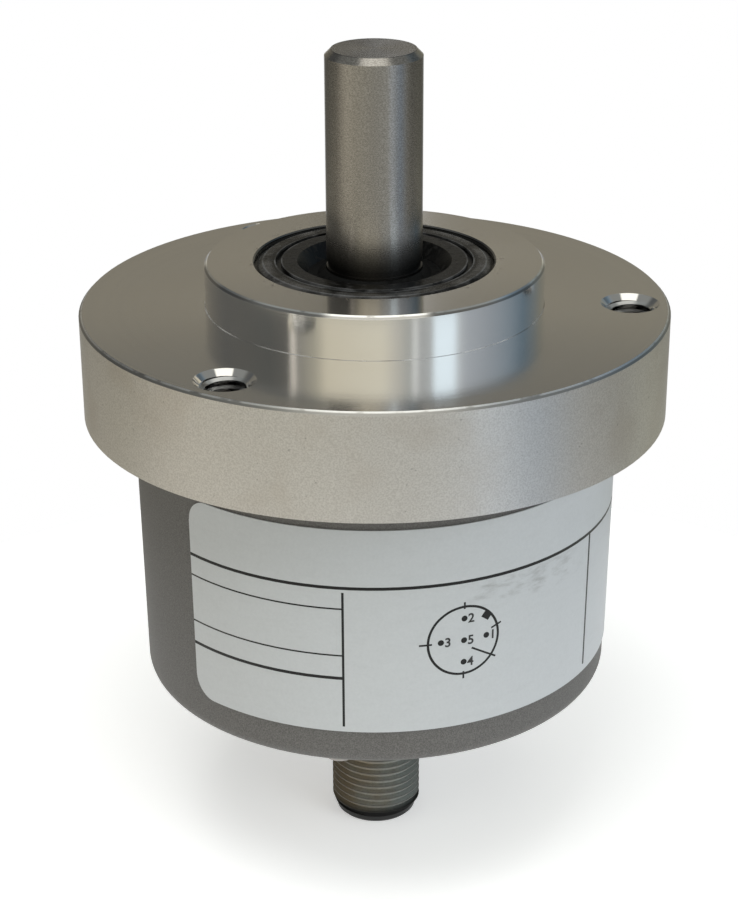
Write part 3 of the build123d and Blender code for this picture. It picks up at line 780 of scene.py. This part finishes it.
number_size, number_weight = 1.7, 0.035
number_right, number_down = 0.45, 0.62
ink_height = 0.015


def label_surface(height):
    """Radius of the label's outer face at a height, on the slightly tapered cover."""
    return label_reach - (label_top - height) * cover_taper


def pin_numbers():
    """Plain numbers beside the five dots of the pin diagram, wrapped round the label."""
    shape = bmesh.new()
    for number, (aside, above) in pins.items():
        words = bpy.data.curves.new("pin_number", "FONT")
        words.body = number
        words.size = number_size
        words.offset = number_weight
        holder = bpy.data.objects.new("pin_number", words)
        bpy.context.scene.collection.objects.link(holder)
        flat = bpy.data.meshes.new_from_object(holder.evaluated_get(bpy.context.evaluated_depsgraph_get()))
        bpy.data.objects.remove(holder)
        first = len(shape.verts)
        shape.from_mesh(flat)
        shape.verts.ensure_lookup_table()
        for corner in shape.verts[first:]:
            across = pin_circle[0] + aside + number_right + corner.co.x
            height = pin_circle[1] + above - number_down + corner.co.y
            turn = across / label_print_radius
            reach = label_surface(height) + ink_height
            corner.co = Vector((reach * sin(turn), -reach * cos(turn), height))
    return shape


add_piece("label_pin_numbers", pin_numbers(), "housing", moulded("label_ink", grey(0.014), 0.4))

screw_circle, screw_angles = 24.5, (-100.5, 19.5, 139.5)
head_height, head_radius = 2.1, 2.5
recess_radius, recess_depth, recess_rim = 1.25, 1.2, 1.5
shank_radius, shank_length = 1.25, 6.0


def pan_head():
    """One screw on the shaft axis, with a six-sided recess in its head."""
    head = bmesh.new()
    low = cover_bottom - head_height
    made = bmesh.ops.create_circle(head, cap_ends=True, segments=6, radius=recess_radius)
    bmesh.ops.translate(head, vec=(0, 0, low + recess_depth), verts=made["verts"])
    walls = bmesh.ops.extrude_face_region(head, geom=[head.faces[:][0]])["geom"]
    bmesh.ops.translate(head, vec=(0, 0, -recess_depth), verts=corners_of(walls))
    bmesh.ops.delete(head, geom=faces_of(walls), context="FACES_ONLY")
    inner = [edge for edge in head.edges if edge.is_boundary and edge.verts[0].co.z < low + 0.1]
    circle = bmesh.ops.create_circle(head, cap_ends=False, segments=48, radius=recess_rim)
    bmesh.ops.translate(head, vec=(0, 0, low), verts=circle["verts"])
    outer = list({edge for corner in circle["verts"] for edge in corner.link_edges})
    bmesh.ops.bridge_loops(head, edges=inner + outer)
    lathe(head, [(recess_rim, low), (1.95, low + 0.2), (2.32, low + 0.6), (head_radius, low + 1.05),
                 (head_radius, cover_bottom - 0.08), (head_radius - 0.08, cover_bottom),
                 (shank_radius, cover_bottom), (shank_radius, cover_bottom + shank_length),
                 (0, cover_bottom + shank_length)], 48)
    bmesh.ops.remove_doubles(head, verts=head.verts, dist=10 * weld)
    mesh = bpy.data.meshes.new("screw")
    head.to_mesh(mesh)
    head.free()
    return mesh


def cover_screws():
    shape = bmesh.new()
    screw = pan_head()
    for angle in screw_angles:
        first = len(shape.verts)
        shape.from_mesh(screw)
        shape.verts.ensure_lookup_table()
        place = Vector((screw_circle * cos(radians(angle)), screw_circle * sin(radians(angle)), 0))
        bmesh.ops.translate(shape, vec=place, verts=shape.verts[first:])
    return shape


add_piece("cover_pan_screws", cover_screws(), "housing", shared["screw_zinc"],
          ("cover_screws",))


# Floor, light and camera

floor_radius, floor_drop = 105, 0.05


def stop(turn, red, green, blue):
    """A stop of a ramp that goes once round the room, from its turn in degrees."""
    return turn / 360 + 0.5, (red, green, blue, 1.0)


def ray(bench, kind):
    return bench.node("ShaderNodeLightPath", output=kind)


def floor():
    """White paper that takes a shadow, and mirrors as a pale grey."""
    shape = bmesh.new()
    bmesh.ops.create_circle(shape, cap_ends=True, segments=round_steps, radius=floor_radius)
    bmesh.ops.translate(shape, vec=(0, 0, plug_end - floor_drop), verts=shape.verts)
    bmesh.ops.scale(shape, vec=(millimetre,) * 3, verts=shape.verts)
    mesh = bpy.data.meshes.new("floor")
    shape.to_mesh(mesh)
    shape.free()
    paper = Finish("floor_paper", grey(0.95), 0.9, Emission_Strength=1.0)
    paper.put("Roughness", 0.85 + 0.1 * paper.noise(4.0))
    seen = ray(paper, "Is Camera Ray").largest(ray(paper, "Is Glossy Ray"))
    seen = seen.largest(ray(paper, "Is Transmission Ray"))
    paper.put("Emission Color", paper.mix(seen, grey(0.0), grey(0.42)))
    mesh.materials.append(paper.material)
    sheet = bpy.data.objects.new("floor", mesh)
    bpy.context.scene.collection.objects.link(sheet)


floor()


# Colours round the room, by their turn in degrees from the side that the camera stands on: a window
# stands right of it. The walls are above the object's level and the table is below it.
room_walls = [
    (-179, 0.26, 0.24, 0.19), (-120, 0.13, 0.13, 0.12), (-75, 0.1, 0.105, 0.1), (-58.5, 0.13, 0.13, 0.12),
    (-57.5, 0.85, 0.82, 0.74), (-55, 0.85, 0.82, 0.74), (-54, 0.25, 0.25, 0.23), (-40, 0.45, 0.44, 0.36),
    (-32, 0.72, 0.69, 0.56), (5, 0.78, 0.76, 0.64), (14, 0.62, 0.62, 0.56), (24, 0.42, 0.45, 0.44),
    (27, 0.9, 0.95, 0.95), (30, 0.45, 0.48, 0.49), (38, 0.5, 0.54, 0.55), (41, 1.0, 1.18, 1.3),
    (54, 1.0, 1.18, 1.3), (58, 0.6, 0.66, 0.7), (64, 0.45, 0.5, 0.55), (80, 0.36, 0.41, 0.46),
    (119, 0.15, 0.22, 0.28), (150, 0.24, 0.24, 0.2), (179, 0.26, 0.24, 0.19),
]
room_table = [
    (-179, 0.4, 0.38, 0.31), (-138, 0.52, 0.49, 0.41), (-112, 0.56, 0.53, 0.43), (-94, 0.68, 0.64, 0.53),
    (-50, 0.5, 0.48, 0.4), (0, 0.4, 0.4, 0.36), (33, 0.45, 0.46, 0.43), (41, 0.56, 0.61, 0.65),
    (49, 0.42, 0.46, 0.49), (64, 0.28, 0.34, 0.41), (88, 0.4, 0.4, 0.36), (104, 0.42, 0.42, 0.38),
    (131, 0.54, 0.54, 0.45), (179, 0.4, 0.38, 0.31),
]
table_side_colour = (0.08, 0.08, 0.07, 1.0)
upper_back_colour = (0.06, 0.07, 0.08, 1.0)
high_wall_colour = (0.24, 0.25, 0.24, 1.0)
overhead_colour = (0.62, 0.62, 0.58, 1.0)
ceiling_colour = (1.3, 1.3, 1.2, 1.0)
ground_colour = (1.0, 1.0, 1.0, 1.0)


def room():
    """A dim room round the object for its metal, and a plain white ground for the camera.

    x, y and z are the direction looked in, so z is the sine of its height over the level.
    """
    world = bpy.data.worlds.new("room")
    bpy.context.scene.world = world
    world.use_nodes = True
    bench = Bench(world.node_tree)
    x, y, z = bench.split(bench.node("ShaderNodeTexCoord", output="Generated"))
    turn = x.angle(-1.0 * y) * (180 / pi)
    walls, table = [
        bench.node("ShaderNodeValToRGB", {"stops": [stop(*part) for part in ring]}, {0: turn / 360 + 0.5})
        for ring in (room_walls, room_table)]
    colour = bench.mix(z.fade(-0.04, 0.06), table, walls)
    beside_table = abs(turn).fade(60.0, 100.0) * z.fade(-0.345, -0.305) * z.fade(-0.02, -0.12)
    colour = bench.mix(beside_table * 0.9, colour, table_side_colour)
    upper_back = abs(turn).fade(100.0, 130.0) * z.fade(0.345, 0.385)
    colour = bench.mix(upper_back * 0.65, colour, upper_back_colour)
    colour = bench.mix(z.fade(0.55, 0.72), colour, high_wall_colour)
    middle = abs(x - 0.02).fade(0.42, 0.32) * z.fade(0.68, 0.74)
    colour = bench.mix(middle * y.fade(0.4, 0.3), colour, overhead_colour)
    colour = bench.mix(middle * y.fade(-0.1, -0.2), colour, ceiling_colour)
    seen = ray(bench, "Is Camera Ray").largest(ray(bench, "Is Transmission Ray"))
    behind = ray(bench, "Is Glossy Ray") * abs(turn).fade(150.0, 176.0) * z.fade(0.02, -0.1) * 0.5
    colour = bench.mix(seen.largest(behind), colour, ground_colour)
    bench.feed(world.node_tree.nodes["Background"].inputs["Color"], colour)


room()

lamp_aim = (0, 0, -0.02)


def lamp(name, place, size, power, colour=(1.0, 1.0, 1.0)):
    """A soft square lamp that faces the object and isn't mirrored in it."""
    light = bpy.data.lights.new(name, "AREA")
    light.size = size * millimetre
    light.energy = power
    light.color = colour
    holder = bpy.data.objects.new(name, light)
    holder.visible_glossy = False
    bpy.context.scene.collection.objects.link(holder)
    spot = Vector(place) * millimetre
    aim = Vector(lamp_aim) - spot
    holder.matrix_world = Matrix.Translation(spot) @ aim.to_track_quat("-Z", "Y").to_matrix().to_4x4()


lamp("overhead_lamp", (-60, -160, 420), 260, 0.9)
lamp("window_lamp", (330, -260, 160), 240, 0.5, (0.94, 0.97, 1.0))
lamp("fill_lamp", (-380, -180, 120), 300, 0.2, (1.0, 0.98, 0.93))

# The photograph's camera, fitted to the outlines of the rims and the shaft
camera_sensor, camera_lens, camera_near = 36.0, 86.75, 0.005
camera_place = (0, -257.58, 91.76)
camera_right = (0.99999, 0.00138, -0.00375)
camera_up = (0.00289, 0.39979, 0.9166)
camera_forward = (-0.00276, 0.91661, -0.39978)


def photo_camera():
    data = bpy.data.cameras.new("photo_camera")
    data.sensor_width = camera_sensor
    data.lens = camera_lens
    data.clip_start = camera_near
    turn = Matrix((Vector(camera_right), Vector(camera_up), -Vector(camera_forward))).transposed().to_4x4()
    camera = bpy.data.objects.new("photo_camera", data)
    camera.matrix_world = Matrix.Translation(Vector(camera_place) * millimetre) @ turn
    bpy.context.scene.collection.objects.link(camera)
    bpy.context.scene.camera = camera


photo_camera()
bpy.context.scene.view_settings.view_transform = "Standard"
